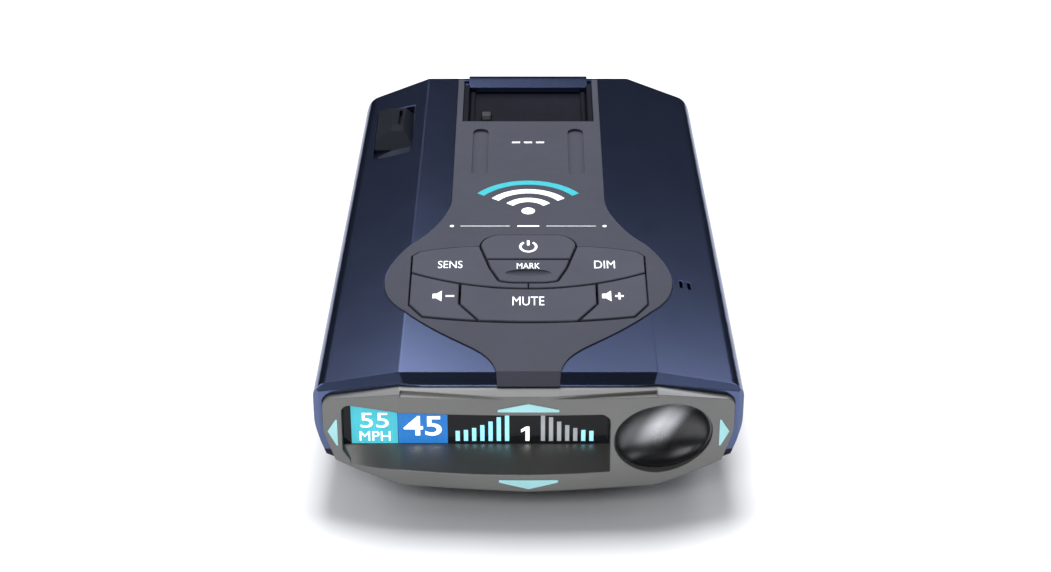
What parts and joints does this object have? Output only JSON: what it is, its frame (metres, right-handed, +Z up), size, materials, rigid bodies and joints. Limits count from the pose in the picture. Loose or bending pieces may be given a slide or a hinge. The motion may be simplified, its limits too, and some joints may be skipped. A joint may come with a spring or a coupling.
{
  "type": "windscreen radar detector",
  "caption": "Windscreen-mounted radar detector: wedge-shaped case with a rear colour display, four direction arrows, a rear lens, top keys and a mount dock with a release button.",
  "frame": {"origin": "centre of the underside", "axes": "+X to the viewer's right when facing the display, +Y towards the windscreen, +Z up"},
  "size_m": [0.086, 0.1381, 0.0348],
  "materials": {
    "cover_blue": "gloss metallic paint on plastic",
    "panel_soft": "soft-touch satin",
    "key_soft": "soft-touch satin",
    "bezel_gunmetal": "satin gunmetal",
    "lens_gunmetal": "gloss gunmetal, passes infrared",
    "arrow_light": "translucent, lit",
    "display_glass": "clear, smoked",
    "display_pixels": "lit display",
    "case_black": "fine texture",
    "button_black": "satin",
    "dock_dark": "satin",
    "circuit_board": "solder mask",
    "black_plastic": "moulded",
    "inner_plastic": "moulded",
    "spring_steel": "zinc plated",
    "tinned_steel": "tin plated",
    "horn_alloy": "die-cast",
    "magnet": "nickel plated",
    "lens_red": "dark red, infrared pass",
    "lens_clear": "clear",
    "led": "moulded",
    "ceramic": "fired, silvered top",
    "foil": "sleeved can",
    "cable": "polyimide",
    "wire": "insulated",
    "speaker_frame": "pressed steel, black",
    "foam": "closed-cell foam",
    "label": "printed film"
  },
  "bodies": {
    "case": {"top_cover": "cover_blue", "control_panel": "panel_soft", "rear_bezel": "bezel_gunmetal", "rear_lens": "lens_gunmetal", "arrow_front": "arrow_light", "arrow_rear": "arrow_light", "arrow_left": "arrow_light", "arrow_right": "arrow_light", "display_window": "display_glass", "display_module": "display_pixels", "bottom_cover": "case_black", "mount_dock": "dock_dark", "main_board": "circuit_board", "display_board": "circuit_board", "key_board": "circuit_board", "front_laser_sensor": "circuit_board", "key_switches": "black_plastic", "power_jack": "black_plastic", "audio_jack": "black_plastic", "processor_chips": "black_plastic", "rear_laser_sensor": "black_plastic", "latch_bracket": "inner_plastic", "latch_springs": "spring_steel", "case_screws": "spring_steel", "small_screws": "spring_steel", "board_screws": "spring_steel", "microwave_shield": "tinned_steel", "wireless_shield": "tinned_steel", "data_jack": "tinned_steel", "front_horn": "horn_alloy", "rear_horn": "horn_alloy", "dock_magnets": "magnet", "front_window": "lens_red", "front_laser_lens": "lens_clear", "arrow_lights": "led", "key_lights": "led", "satellite_antenna": "ceramic", "backup_capacitor": "foil", "key_cable": "cable", "display_cable": "cable", "speaker_wires": "wire", "speaker": "speaker_frame", "speaker_gasket": "foam", "rating_label": "label"},
    "button_power": {"key_power": "key_soft", "plunger_power": "black_plastic"},
    "button_sensitivity": {"key_sensitivity": "key_soft", "plunger_sensitivity": "black_plastic"},
    "button_brightness": {"key_brightness": "key_soft", "plunger_brightness": "black_plastic"},
    "button_mark": {"key_mark": "key_soft", "plunger_mark": "black_plastic"},
    "button_volume_down": {"key_volume_down": "key_soft", "plunger_volume_down": "black_plastic"},
    "button_volume_up": {"key_volume_up": "key_soft", "plunger_volume_up": "black_plastic"},
    "button_mute": {"key_mute": "key_soft", "plunger_mute": "black_plastic"},
    "release": {"release_button": "button_black", "latch_arm": "inner_plastic"}
  },
  "joints": [
    {"name": "power_press", "type": "slide", "parent": "case", "child": "button_power", "axis": [0, 0.0332, -0.9994], "range_m": [0, 0.00035]},
    {"name": "sensitivity_press", "type": "slide", "parent": "case", "child": "button_sensitivity", "axis": [0, 0.0332, -0.9994], "range_m": [0, 0.00035]},
    {"name": "brightness_press", "type": "slide", "parent": "case", "child": "button_brightness", "axis": [0, 0.0332, -0.9994], "range_m": [0, 0.00035]},
    {"name": "mark_press", "type": "slide", "parent": "case", "child": "button_mark", "axis": [0, 0.0332, -0.9994], "range_m": [0, 0.00035]},
    {"name": "volume_down_press", "type": "slide", "parent": "case", "child": "button_volume_down", "axis": [0, 0.0332, -0.9994], "range_m": [0, 0.00035]},
    {"name": "volume_up_press", "type": "slide", "parent": "case", "child": "button_volume_up", "axis": [0, 0.0332, -0.9994], "range_m": [0, 0.00035]},
    {"name": "mute_press", "type": "slide", "parent": "case", "child": "button_mute", "axis": [0, 0.0332, -0.9994], "range_m": [0, 0.00035]},
    {"name": "release_press", "type": "slide", "parent": "case", "child": "release", "axis": [0, 0, -1], "range_m": [0, 0.0015], "deforming": ["latch_springs"]}
  ]
}
